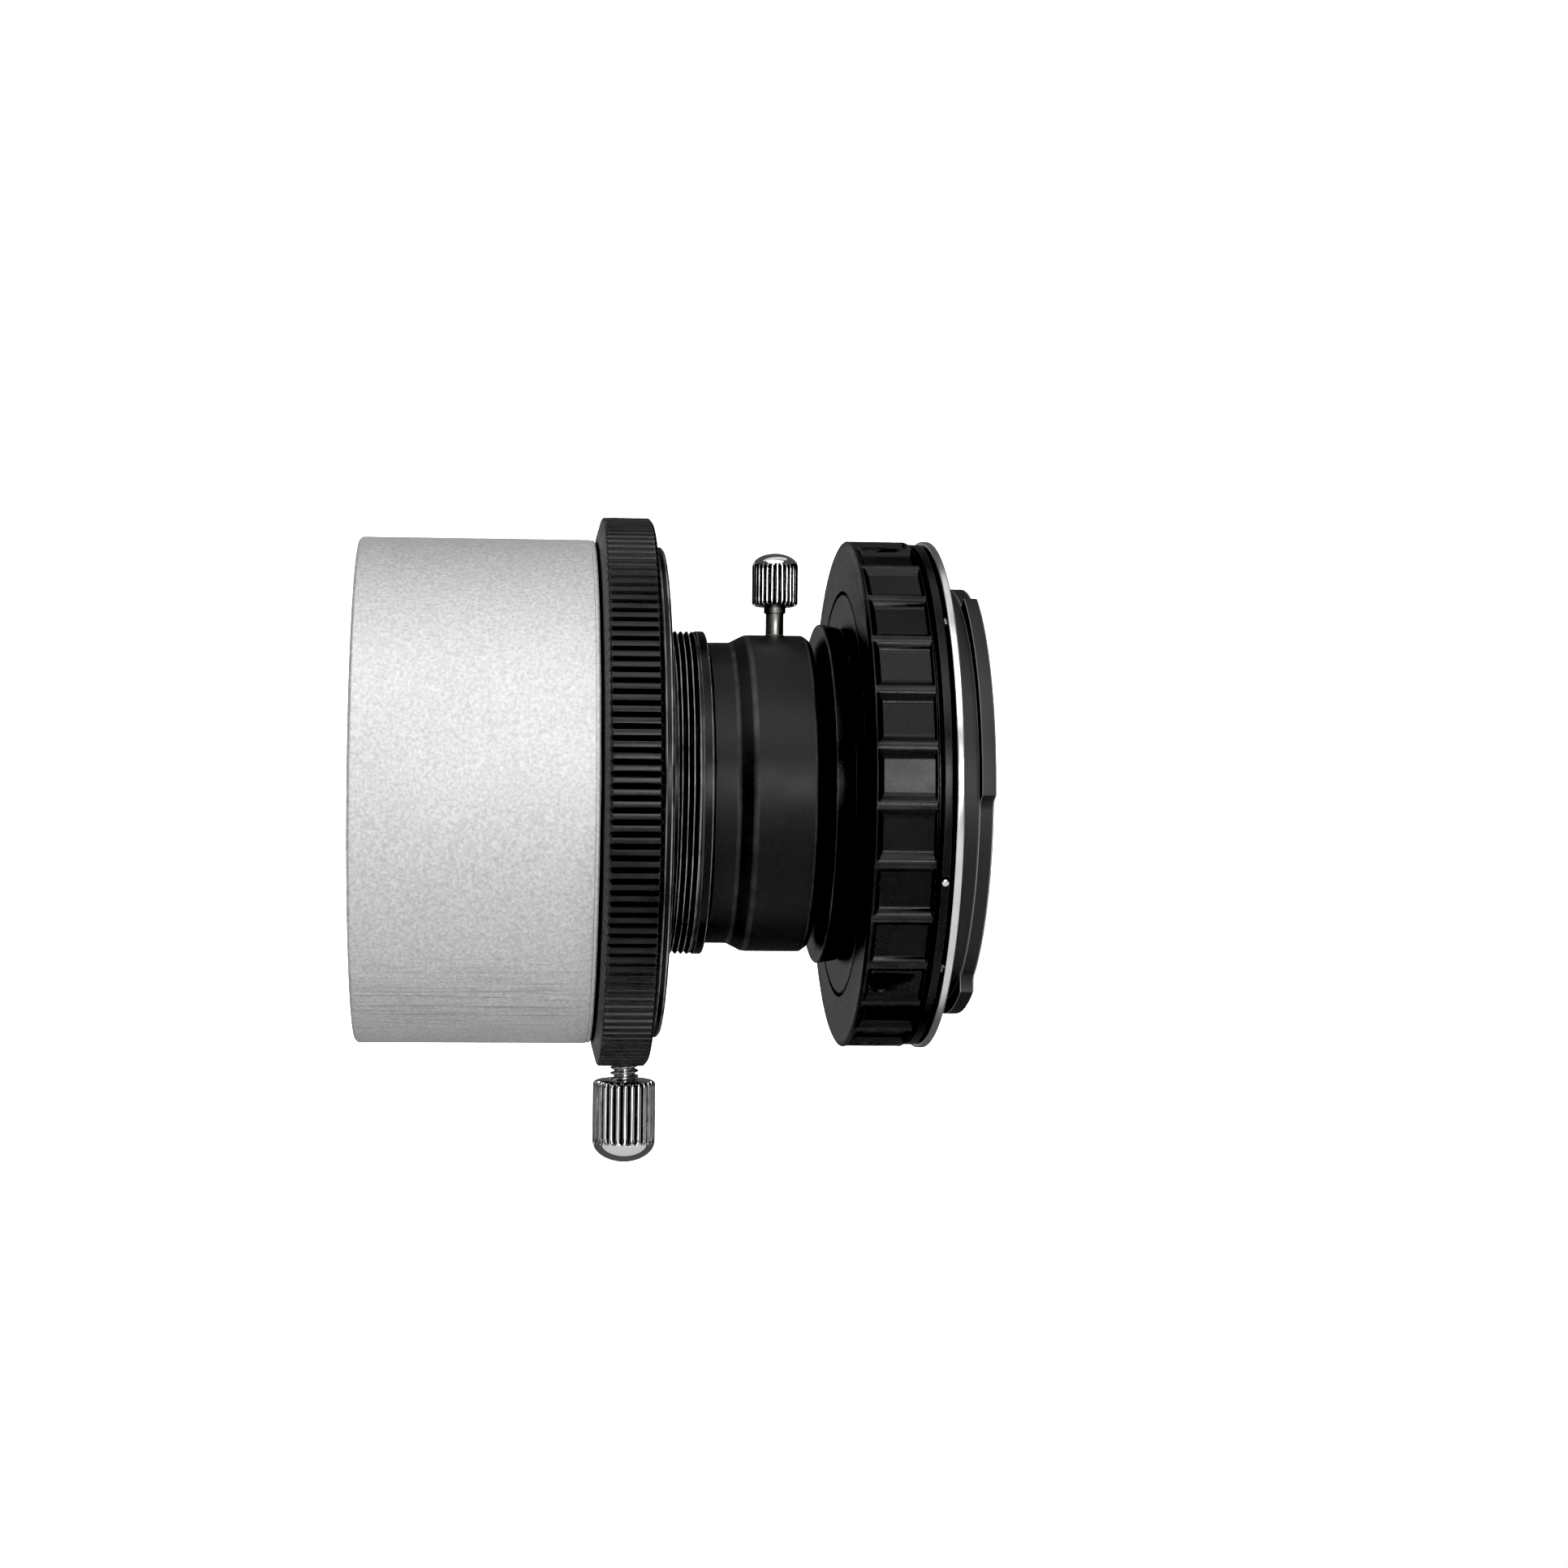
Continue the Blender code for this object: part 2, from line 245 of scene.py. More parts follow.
def cut_hole(piece, radius, start, end, x, toward, chamfer=0.15):
    """Round hole with a small chamfer at its mouth, cut along toward from the X axis at x."""
    corners = [(start, 0.0), (start, radius), (end - chamfer, radius), (end, radius + chamfer)]
    corners += [(end + 3.0, radius + chamfer), (end + 3.0, 0.0)]
    cut_away(piece, turned("cutter", corners, count=40, x=x, toward=toward))


def dress(piece, body, slot, finish, *nodes):
    """Give a piece its finish, its body and the frame nodes that it stands for, which it hides.
    The slot is not used.
    """
    piece.data.materials.clear()
    piece.data.materials.append(finish)
    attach(piece, body)
    if nodes:
        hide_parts(*nodes)
    return piece


# ---------------------------------------------------------------- finishes

def add(tree, kind, **values):
    """Node whose inputs are set by name: a number or colour, or a socket to link from.

    An input named i and a number is taken by its place, and an underscore is a space.
    """
    made = tree.nodes.new(kind)
    for name, value in values.items():
        if name in ("operation", "data_type", "attribute_name"):
            setattr(made, name, value)
            continue
        key = int(name[1:]) if name[0] == "i" and name[1:].isdigit() else name.replace("_", " ")
        if isinstance(value, bpy.types.NodeSocket):
            tree.links.new(value, made.inputs[key])
        else:
            made.inputs[key].default_value = value
    return made


def blank(name, colour, roughness, metallic):
    """Material, its tree and its Principled shader, whose plain values a pattern may replace."""
    made = bpy.data.materials.new(name)
    made.use_nodes = True
    shader = made.node_tree.nodes["Principled BSDF"]
    shader.inputs["Base Color"].default_value = (*colour, 1.0)
    shader.inputs["Roughness"].default_value = roughness
    shader.inputs["Metallic"].default_value = metallic
    return made, made.node_tree, shader


def mixed(tree, factor, first, second):
    """Colour between first and second."""
    made = add(tree, "ShaderNodeMix", data_type="RGBA", i0=factor)
    for slot, value in ((6, first), (7, second)):
        if isinstance(value, bpy.types.NodeSocket):
            tree.links.new(value, made.inputs[slot])
        else:
            made.inputs[slot].default_value = (*value, 1.0)
    return made.outputs[2]


def ranged(tree, value, low, high, to_low, to_high):
    """Value mapped from one range to another and held inside it."""
    made = add(tree, "ShaderNodeMapRange", i0=value, i1=low, i2=high, i3=to_low, i4=to_high)
    return made.outputs[0]


def noise(tree, place, scale, detail=2.0, roughness=0.5):
    """Cloudy pattern between 0 and 1, with a scale in clouds per metre."""
    made = add(tree, "ShaderNodeTexNoise", Vector=place, Scale=scale, Detail=detail)
    made.inputs["Roughness"].default_value = roughness
    return made.outputs[0]


def maths(tree, operation, first, second=0.0):
    """Result of one sum on two values."""
    return add(tree, "ShaderNodeMath", operation=operation, i0=first, i1=second).outputs[0]


def from_axis(tree, place):
    """Distance of a place from the X axis, in metres."""
    _, y, z = add(tree, "ShaderNodeSeparateXYZ", Vector=place).outputs
    square = maths(tree, "ADD", maths(tree, "MULTIPLY", y, y), maths(tree, "MULTIPLY", z, z))
    return maths(tree, "SQRT", square)


def lathe_lines(tree, place, scale):
    """Fine turning marks: noise read along the axis and the radius only, so in rings."""
    x = add(tree, "ShaderNodeSeparateXYZ", Vector=place).outputs[0]
    rings = add(tree, "ShaderNodeCombineXYZ", X=x, Y=from_axis(tree, place))
    return noise(tree, rings.outputs[0], scale, 3.0, 0.65)


def relief(tree, shader, height, strength, distance):
    """Bump on a shader from a height."""
    bump = add(tree, "ShaderNodeBump", Strength=strength, Distance=distance, Height=height)
    tree.links.new(bump.outputs[0], shader.inputs["Normal"])


def marked(tree):
    """Each place's mark from 0 to 1: how rubbed it is, partly real wear and partly a painted
    highlight, and on the knobs how deep in a valley it is, for painted shade.
    """
    return add(tree, "ShaderNodeAttribute", attribute_name="edge").outputs["Fac"]


def black_anodised(name, colour, roughness, wear_and_glint_tone, lines):
    """Dyed anodised aluminium: fine blasted grain, faint turning rings, paler edges that are
    partly real wear and partly a painted highlight.
    """
    made, tree, shader = blank(name, (colour,) * 3, roughness, 0.0)
    shader.inputs["Specular IOR Level"].default_value = 0.24
    place = add(tree, "ShaderNodeTexCoord").outputs["Object"]
    grain = noise(tree, place, BLAST_GRAIN, 3.0, 0.6)
    cloud = noise(tree, place, 190.0, 4.0, 0.6)
    rings = lathe_lines(tree, place, 2600.0)
    # Pale tone on marked edges, crests, ridges and ribs: partly real wear, partly a painted
    # highlight.
    rub_and_glint = maths(tree, "MULTIPLY", marked(tree), ranged(tree, cloud, 0.38, 0.66, 0.25, 1.0))
    patch = ranged(tree, cloud, 0.3, 0.7, 0.0, 1.0)
    dyed = mixed(tree, patch, (colour * 0.8,) * 3, (colour * 1.35,) * 3)
    tree.links.new(mixed(tree, rub_and_glint, dyed, (wear_and_glint_tone,) * 3), shader.inputs["Base Color"])
    dull = ranged(tree, cloud, 0.25, 0.75, roughness - 0.05, roughness + 0.07)
    dull = maths(tree, "SUBTRACT", dull, maths(tree, "MULTIPLY", rub_and_glint, 0.08))
    tree.links.new(dull, shader.inputs["Roughness"])
    height = maths(tree, "ADD", grain, maths(tree, "MULTIPLY", rings, lines))
    relief(tree, shader, height, 0.45, 0.00004)
    return made


def satin_silver():
    """Blasted, clear anodised tube: mottled grain, drag marks low on one side, black bore."""
    made, tree, shader = blank("satin_silver", (0.62, 0.62, 0.63), 0.42, 1.0)
    place = add(tree, "ShaderNodeTexCoord").outputs["Object"]
    grain = noise(tree, place, BLAST_GRAIN, 3.0, 0.7)
    mottle = noise(tree, place, 2300.0, 3.0, 0.65)
    cloud = noise(tree, place, 60.0, 3.0, 0.5)
    x, y, z = add(tree, "ShaderNodeSeparateXYZ", Vector=place).outputs
    drawn = add(tree, "ShaderNodeMapping", Vector=place)
    drawn.inputs["Scale"].default_value = (0.03, 1.0, 1.0)
    drag = noise(tree, drawn.outputs[0], 2300.0, 3.0, 0.7)
    low = maths(tree, "MULTIPLY", ranged(tree, z, -0.0312, -0.0285, 0.0, 1.0),
                ranged(tree, z, -0.0250, -0.0190, 1.0, 0.0))
    near = maths(tree, "MULTIPLY", low, ranged(tree, y, -0.004, -0.010, 0.0, 1.0))
    rubbed = maths(tree, "MULTIPLY", near, ranged(tree, x, 0.0290, 0.0240, 0.0, 1.0))
    scratch = maths(tree, "MULTIPLY", rubbed, ranged(tree, drag, 0.46, 0.66, 0.0, 1.0))
    speck = ranged(tree, mottle, 0.30, 0.70, 0.0, 1.0)
    metal = mixed(tree, speck, (0.54, 0.54, 0.55), (0.82, 0.82, 0.83))
    metal = mixed(tree, maths(tree, "MULTIPLY", scratch, 0.55), metal, (0.30, 0.30, 0.31))
    outside = ranged(tree, from_axis(tree, place), 0.0303, 0.0305, 0.0, 1.0)
    tree.links.new(mixed(tree, outside, (0.012, 0.012, 0.012), metal), shader.inputs["Base Color"])
    tree.links.new(maths(tree, "MULTIPLY", outside, 0.8), shader.inputs["Metallic"])
    dull = ranged(tree, maths(tree, "ADD", mottle, cloud), 0.6, 1.4, 0.56, 0.68)
    tree.links.new(dull, shader.inputs["Roughness"])
    height = maths(tree, "ADD", grain, mottle)
    height = maths(tree, "ADD", height, maths(tree, "MULTIPLY", scratch, 1.5))
    relief(tree, shader, height, 0.8, 0.00005)
    return made


def bright_metal(name, colour, roughness, lines, tarnish=0.75, throat=None, valley_shade=0.0):
    """Plated or turned bright metal: ring marks, cloudy roughness, darker in patches.

    Inside a throat radius it is painted matt black, apart from its rubbed edges. The last argument
    says how dark the marked valleys of a fluted piece are painted, as painted shade.
    """
    made, tree, shader = blank(name, colour, roughness, 1.0)
    place = add(tree, "ShaderNodeTexCoord").outputs["Object"]
    cloud = noise(tree, place, 420.0, 4.0, 0.6)
    rings = lathe_lines(tree, place, 2400.0)
    darker = tuple(part * tarnish for part in colour)
    patch = ranged(tree, cloud, 0.42, 0.72, 0.0, 1.0)
    metal = mixed(tree, patch, colour, darker)
    dull = ranged(tree, cloud, 0.3, 0.7, roughness * 0.7, roughness * 1.5)
    # Painted shade: the marked flute valleys are darkened towards near black.
    if valley_shade:
        shade_strength = ranged(tree, cloud, 0.3, 0.6, valley_shade * 0.7, valley_shade)
        painted_shade = maths(tree, "MULTIPLY", marked(tree), shade_strength)
        metal = mixed(tree, painted_shade, metal, (0.02, 0.02, 0.02))
        dull = maths(tree, "ADD", dull, maths(tree, "MULTIPLY", painted_shade, 0.3))
    if throat:
        bare = ranged(tree, from_axis(tree, place), throat, throat + 0.0003, 0.0, 1.0)
        bare = maths(tree, "MAXIMUM", bare, ranged(tree, marked(tree), 0.6, 1.0, 0.0, 0.5))
        metal = mixed(tree, bare, (0.006, 0.006, 0.006), metal)
        dull = ranged(tree, bare, 0.0, 1.0, 0.5, roughness)
        tree.links.new(bare, shader.inputs["Metallic"])
    tree.links.new(metal, shader.inputs["Base Color"])
    tree.links.new(dull, shader.inputs["Roughness"])
    height = maths(tree, "ADD", rings, maths(tree, "MULTIPLY", cloud, 0.6))
    relief(tree, shader, height, lines, 0.00003)
    return made


def glass(name, tint, ruled):
    """Coated glass disc. A ruled one carries faint bands and a thin film's colours."""
    made, tree, shader = blank(name, tint, 0.03, 0.0)
    shader.inputs["Transmission Weight"].default_value = 1.0
    shader.inputs["IOR"].default_value = 1.5
    place = add(tree, "ShaderNodeTexCoord").outputs["Object"]
    smear = noise(tree, place, 260.0, 3.0, 0.55)
    tree.links.new(ranged(tree, smear, 0.35, 0.75, 0.015, 0.09), shader.inputs["Roughness"])
    if ruled:
        shader.inputs["Thin Film Thickness"].default_value = 420.0
        shader.inputs["Thin Film IOR"].default_value = 1.7
        parts = add(tree, "ShaderNodeSeparateXYZ", Vector=place)
        line = maths(tree, "SINE", maths(tree, "MULTIPLY", parts.outputs[2], 9000.0))
        relief(tree, shader, line, 0.12, 0.00001)
    return made


def finishes():
    """Every finish of the object, by a short name."""
    return {
        "silver": satin_silver(),
        # For the black finishes the third number is the pale tone of marked edges, partly real
        # wear and partly a painted highlight.
        "collar": black_anodised("black_anodised_collar", 0.005, 0.30, 0.035, 0.2),
        "turned": black_anodised("black_anodised_turned", 0.003, 0.30, 0.50, 0.8),
        "blasted": black_anodised("black_anodised_blasted", 0.009, 0.40, 0.05, 0.15),
        "ring": black_anodised("black_anodised_ring", 0.003, 0.28, 0.07, 0.3),
        "inner": black_anodised("black_matt_inner", 0.002, 0.75, 0.01, 0.9),
        "steel": bright_metal("bright_steel", (0.66, 0.655, 0.64), 0.15, 0.12),
        "dull_steel": bright_metal("dull_steel", (0.34, 0.335, 0.32), 0.38, 0.25),
        # Chrome: the last number darkens its flute valleys as painted shade.
        "chrome": bright_metal("chrome_plate", (0.74, 0.74, 0.75), 0.035, 0.04, 0.9, valley_shade=0.95),
        "brass": bright_metal("spring_brass", (0.72, 0.50, 0.20), 0.30, 0.30, 0.6),
        "nickel": bright_metal("nickel_plate", (0.80, 0.80, 0.79), 0.24, 0.12, 0.9, 0.0292),
        "pin": bright_metal("bright_pin", (0.80, 0.80, 0.79), 0.22, 0.12, 0.9),
        "glass": glass("clear_glass", (0.95, 0.97, 0.97), False),
        "grating": glass("grating_glass", (0.86, 0.90, 0.95), True),
    }


# ---------------------------------------------------------------- pieces

def draw_tube(look):
    """Thin tube with rounded ends and one fine groove turned just inside its front edge."""
    start, end, outer = span("draw_tube")
    wall = 2.55
    bore = outer - wall
    corners = [
        (start, bore, 0.2), (start, outer - 0.35, 0.1), (start + 0.35, outer, 0.15),
        (end - 0.55, outer, 0.1), (end - 0.5, outer - 0.12, 0.05), (end - 0.3, outer - 0.12, 0.05),
        (end - 0.25, outer, 0.08), (end, outer - 0.15, 0.08), (end, bore, 0.2),
    ]
    piece = turned("tube_shell", *rounded(corners), count=256)
    dress(piece, "telescope_side", "satin_silver", look["silver"], "draw_tube")


def clamp_collar(look):
    """Collar with a straight knurl: the radius dips between ridges by an S curve of the angle.

    The knurl is cut through the whole outline in front of the tube, as the smaller of the
    outline's radius and the knurl's, so its ends follow the collar's chamfers.
    """
    start, end, rim = span("clamp_collar")
    face = span("draw_tube")[1] + GAP
    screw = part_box("collar_screw_stud")
    centre = (screw[0].x + screw[1].x) / 2 / MM
    groove = (centre - 1.5, centre + 1.5)
    bore = rim - 9.8
    corners = [
        (start, bore, 0.3), (start, rim - 5.8, 0.3), (face, rim - 5.8, 0.0),
        (face, rim - 2.7, 0.9), (face + 0.75, rim, 0.35), (end - 0.45, rim, 0.12),
        (end, rim - 0.55, 0.12), (end, bore + 0.2, 0.2), (groove[1], bore, 0.0),
        (groove[1], bore + 2.2, 0.0), (groove[0], bore + 2.2, 0.0), (groove[0], bore, 0.0),
    ]
    outline, edge = rounded(corners, 9)

    def knurl(along, reach, angle):
        valley = rim - KNURL_DEPTH * smooth(0.42, 0.95, tooth(KNURL_RIDGES, angle))
        return np.where(along > face, np.minimum(reach, valley), reach)

    # Paler knurl ridge tops: partly real wear, partly a painted highlight.
    def ridge_wear_and_glint(along, reach, angle):
        top = 1.0 - smooth(0.3, 0.55, tooth(KNURL_RIDGES, angle))
        return 0.6 * top * (reach > rim - 0.05) * (along > face)

    piece = turned("collar_body", outline, edge, KNURL_RIDGES * 8, knurl, wear_glint_and_shade=ridge_wear_and_glint)
    cut_hole(piece, 2.15, bore + 1.0, rim, centre, DOWN)
    dress(piece, "telescope_side", "black_anodised", look["collar"], "clamp_collar")


def split_ring(node, body, look):
    """Compression ring: a rounded band whose ends leave a gap of 1.8 mm on its far side."""
    start, end, outer = span(node)
    inner = outer - (1.6 if outer > 20.0 else 1.4)
    corners = [(start, inner, 0.25), (start, outer, 0.25), (end, outer, 0.25), (end, inner, 0.25)]
    piece = turned(node + "_band", *rounded(corners), count=128)
    side = Vector((0, 1, 0))
    for place in (-0.9, 0.0, 0.9):
        cut_hole(piece, 0.9, inner - 2.0, outer + 2.0, (start + end) / 2 + place, side, 0.0)
    dress(piece, body, "spring_brass", look["brass"], node)


def reducer_adapter(look):
    """Barrel with a safety groove, lip, thread relief, helical thread and plain end ring."""
    start, end, lip_r = span("reducer_adapter")
    lip = span("clamp_collar")[1] + GAP
    barrel = BARREL_2_INCH
    safety = barrel - 0.7
    crest = T2_CREST
    bore, socket = 22.0, 19.3
    groove = (31.4, 36.9)
    step, seat = 37.0, 39.5
    relief_end = lip + 2.45
    corners = [
        (start, bore, 0.2), (start, barrel - 0.4, 0.1), (start + 0.5, barrel, 0.2),
        (groove[0], barrel, 0.1), (groove[0] + 0.5, safety, 0.1),
        (groove[1] - 0.5, safety, 0.1), (groove[1], barrel, 0.1),
        (lip, barrel, 0.0), (lip, lip_r - 0.15, 0.1), (lip + 0.15, lip_r, 0.1),
        (lip + 0.85, lip_r, 0.12), (lip + 1.15, lip_r - 0.3, 0.1),
        (lip + 1.15, crest - 0.6, 0.25), (relief_end, crest - 0.6, 0.1),
    ]
    corners += rows(relief_end + 0.15, end - 1.6, crest, T2_PITCH / 14)
    corners += [
        (end - 1.55, crest, 0.05), (end - 1.5, crest - 0.5, 0.05), (end - 1.25, crest - 0.5, 0.05),
        (end - 1.2, crest, 0.06), (end - 0.12, crest, 0.06), (end, crest - 0.15, 0.06),
        (end, socket, 0.15), (seat, socket, 0.0), (seat, socket - 1.8, 0.1),
        (step, socket - 1.8, 0.1), (step, bore, 0.2),
    ]
    outline, edge = rounded(corners)
    thread, crest_wear_and_glint = helix(T2_PITCH, 0.46, relief_end, end - 1.5, 0.2)
    piece = turned("adapter_body", outline, edge, 224, thread, wear_glint_and_shade=crest_wear_and_glint)
    dress(piece, "adapter", "black_anodised", look["turned"], "reducer_adapter")


def eyepiece_holder(look):
    """Neck, short taper and body, with a groove inside for the compression ring."""
    start, end, body_r = span("eyepiece_holder")
    shoulder = span("reducer_adapter")[1] + GAP
    low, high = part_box("holder_screw_stud")
    centre = (low.x + high.x) / 2 / MM
    bore = 16.1
    ring = (centre - 1.5, centre + 1.5)
    spigot = 19.0
    neck = body_r - 1.03
    corners = [
        (start, bore, 0.2), (start, spigot, 0.3), (shoulder, spigot, 0.0), (shoulder, neck, 0.15),
        (shoulder + 3.0, neck, 0.35), (shoulder + 5.0, body_r, 0.45), (end - 0.75, body_r, 0.2),
        (end, body_r - 0.55, 0.15), (end, bore + 0.35, 0.15), (end - 0.35, bore, 0.1),
        (ring[1], bore, 0.0), (ring[1], bore + 1.8, 0.0),
        (ring[0], bore + 1.8, 0.0), (ring[0], bore, 0.0),
    ]
    piece = turned("holder_body", *rounded(corners, 7), count=224)
    cut_hole(piece, 1.62, 17.0, body_r, centre, UP)
    dress(piece, "adapter", "black_anodised", look["blasted"], "eyepiece_holder")


def stud(node, body, finish, outline, crest, pitch, threaded, x, toward):
    """Threaded stud: short cone at its tip, helical thread, plain end inside the knob."""
    low, high = threaded
    plain = [(*spot, 0.0) for spot in outline]
    corners = plain[:2] + rows(low, high, crest, pitch / 12) + plain[2:]
    shape, edge = rounded(corners, closed=False)
    thread, _ = helix(pitch, 0.4 * crest if crest < 1.6 else 0.58, low, high, 0.3)
    piece = turned(node + "_thread", shape, edge, 48, thread, x=x, toward=toward)
    dress(piece, body, "bright_steel", finish, node)


def knob(node, body, look, low, shoulder, tip, crest, bore, x, toward):
    """Fluted knob with a domed end: radius = the smaller of the turned shape and the flutes.

    The turned shape is a chamfer, a cylinder and a half ellipse. The flutes are rolled on
    the cylinder and run out at its shoulder, so the dome is plain.
    """
    rise = np.linspace(0.0, np.pi / 2, 22)
    dome = np.stack([shoulder + (tip - shoulder) * np.sin(rise), crest * np.cos(rise)], 1)
    body_rows = np.linspace(low + 0.45, shoulder - 0.02, 22)
    sides = np.stack([body_rows, np.full(22, crest)], 1)
    foot = [(bore[0], 0.0), (bore[0], bore[1]), (low, bore[1]), (low, crest - 0.7)]
    foot += [(low + 0.05, crest - 0.5), (low + 0.2, crest - 0.2)]
    outline = np.concatenate([np.array(foot), sides, dome])
    outline[-1, 1] = 0.0
    depth = 0.13 * crest + 0.08

    def flute(along, reach, angle):
        run = 1.0 - smooth(shoulder - 0.35, shoulder + 0.35, along)
        round_over = 1.0 - np.sqrt(np.clip(1.0 - tooth(FLUTES, angle) ** 2, 0.0, 1.0))
        scoop = crest - depth * run * round_over
        within = np.where(along > low + 0.01, scoop, crest - depth)
        return np.minimum(reach, within)

    # Flute valleys, which the chrome finish darkens as painted shade.
    def valley(along, reach, angle):
        cut = smooth(0.28, 0.72, tooth(FLUTES, angle))
        return cut * (along > low + 0.3) * (along < shoulder + 0.1)

    count = FLUTES * 10
    name = node + "_fluted"
    piece = turned(name, outline, None, count, flute, wear_glint_and_shade=valley, x=x, toward=toward)
    dress(piece, body, "chrome_plate", look["chrome"], node)


def thumbscrews(look):
    """Both thumbscrews: a stud and a knob each. The holder's stud is necked down half-way."""
    kinds = (("collar", DOWN, 1.9, M4_PITCH), ("holder", UP, 1.43, M3_PITCH))
    for side, toward, crest, pitch in kinds:
        low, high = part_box(side + "_screw_stud")
        x = (low.x + high.x) / 2 / MM
        ends = sorted((abs(low.z) / MM, abs(high.z) / MM))
        knob_low, knob_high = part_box(side + "_screw_knob")
        near, tip = sorted((abs(knob_low.z) / MM, abs(knob_high.z) / MM))
        grip = (knob_high.x - knob_low.x) / 2 / MM
        inside = 1.55 if side == "collar" else 1.05
        under = near - 0.02
        if side == "collar":
            outline = [(ends[0], 0.0), (ends[0], 1.3), (under, crest), (under, inside)]
            threaded = (ends[0] + 0.3, near)
            shoulder = near + 7.9
        else:
            waist, neck = 1.18, 20.5
            outline = [(ends[0], 0.0), (ends[0], 1.0), (neck, crest), (neck + 0.2, waist)]
            outline += [(near - 0.9, waist), (near - 0.8, crest), (under, crest), (under, inside)]
            threaded = (ends[0] + 0.3, neck - 0.1)
            shoulder = near + 5.25
        outline += [(ends[1], inside), (ends[1], 0.0)]
        finish = look["steel" if side == "collar" else "dull_steel"]
        node = side + "_screw_stud"
        stud(node, side + "_stud", finish, outline, crest, pitch, threaded, x, toward)
        bore = (ends[1] + GAP, inside + 0.2)
        node = side + "_screw_knob"
        knob(node, side + "_knob", look, near, shoulder, tip, grip, bore, x, toward)


def nosepiece(look):
    """Barrel with a safety groove, and a flange whose front carries a helical thread."""
    start, end, outer = span("nosepiece_barrel")
    mouth, bore, spigot, safety = 14.25, 13.6, 15.2, 15.4
    groove = (50.0, 56.8)
    shoulder = 59.0
    corners = [
        (start, mouth, 0.1), (start, outer - 0.3, 0.1), (start + 0.3, outer, 0.1),
        (groove[0], outer, 0.1), (groove[0] + 0.5, safety, 0.1),
        (groove[1] - 0.5, safety, 0.1), (groove[1], outer, 0.1),
        (shoulder, outer, 0.0), (shoulder, spigot, 0.0), (end, spigot, 0.2), (end, bore, 0.2),
        (start + 3.0, bore, 0.0), (start + 3.0, mouth, 0.0),
    ]
    piece = turned("nosepiece_tube", *rounded(corners), count=192)
    dress(piece, "nosepiece", "black_anodised", look["inner"], "nosepiece_barrel")
    start, end, flange = span("nosepiece_flange")
    rim = start + 2.8
    hole, root, crest, front = 15.5, 20.2, 20.7, 18.0
    step = 62.6
    corners = [
        (start, hole, 0.2), (start, flange - 0.15, 0.1), (start + 0.15, flange, 0.1),
        (rim - 0.2, flange - 0.4, 0.15), (rim, flange - 0.6, 0.1), (rim, root, 0.1),
        (rim + 0.3, root, 0.1),
    ]
    corners += rows(rim + 0.45, end - 0.5, crest, T2_PITCH / 10)
    corners += [
        (end - 0.4, root + 0.1, 0.1), (end, root, 0.1), (end, front, 0.2),
        (step, front, 0.1), (step, hole, 0.1),
    ]
    outline, edge = rounded(corners)
    thread, _ = helix(T2_PITCH, 0.42, rim + 0.4, end - 0.4, 0.4)
    piece = turned("nosepiece_collar", outline, edge, 192, thread)
    dress(piece, "nosepiece", "black_anodised", look["ring"], "nosepiece_flange")


def grating_cell(look):
    """Filter cell with a knurled band, its two discs and the slotted ring that locks them.

    The band's radius dips between ridges as the clamp collar's does.
    """
    start, end, outer = span("grating_cell")
    seat, hole, crest, lip = 13.3, 12.0, 13.95, 28.4
    groove = outer - 0.4
    corners = [
        (start, seat, 0.1), (start, outer - 0.3, 0.1), (start + 0.3, outer, 0.1),
        (start + 4.6, outer, 0.1), (start + 4.7, groove, 0.1), (start + 5.1, groove, 0.1),
        (start + 5.2, outer, 0.1), (30.4, outer, 0.1), (30.7, outer - 0.3, 0.1),
        (30.7, crest, 0.05),
    ]
    corners += rows(30.9, end - 0.2, crest, 0.05)
    corners += [(end, 13.6, 0.1), (end, hole, 0.2), (lip, hole, 0.1), (lip, seat, 0.0)]
    outline, edge = rounded(corners)
    thread, _ = helix(0.6, 0.3, 30.8, end - 0.1, 0.3)
    ridges = 96

    def radius(along, reach, angle):
        grip = outer - 0.3 * smooth(0.4, 0.9, tooth(ridges, angle))
        banded = (along > start + 0.5) & (along < start + 4.5) & (reach > 14.0)
        return np.where(banded, np.minimum(reach, grip), thread(along, reach, angle))

    outline = np.insert(outline, 10, [[start + 0.55, outer], [start + 4.45, outer]], 0)
    edge = np.insert(edge, 10, [0.0, 0.0])
    piece = turned("cell_body", outline, edge, ridges * 6, radius)
    dress(piece, "grating", "black_anodised", look["turned"], "grating_cell")
    for node, name, finish, slot in (
        ("grating_disc", "ruled_disc", "grating", "grating_glass"),
        ("cover_glass", "cover_disc", "glass", "clear_glass"),
    ):
        start, end, reach = span(node)
        corners = [(start, 0.0, 0.0), (start, reach, 0.15), (end, reach, 0.15), (end, 0.0, 0.0)]
        piece = turned(name, *rounded(corners, closed=False), count=128)
        dress(piece, "grating", slot, look[finish], node)
    start, end, reach = span("grating_retaining_ring")
    corners = [(start, hole, 0.2), (start, reach, 0.1), (end, reach, 0.1), (end, hole, 0.1)]
    piece = turned("lock_ring", *rounded(corners), count=128)
    for side in (Vector((0, 1, 0)), Vector((0, -1, 0))):
        cut_hole(piece, 0.45, 11.0, reach + 1.0, start, side, 0.0)
    dress(piece, "grating", "black_anodised", look["inner"], "grating_retaining_ring")


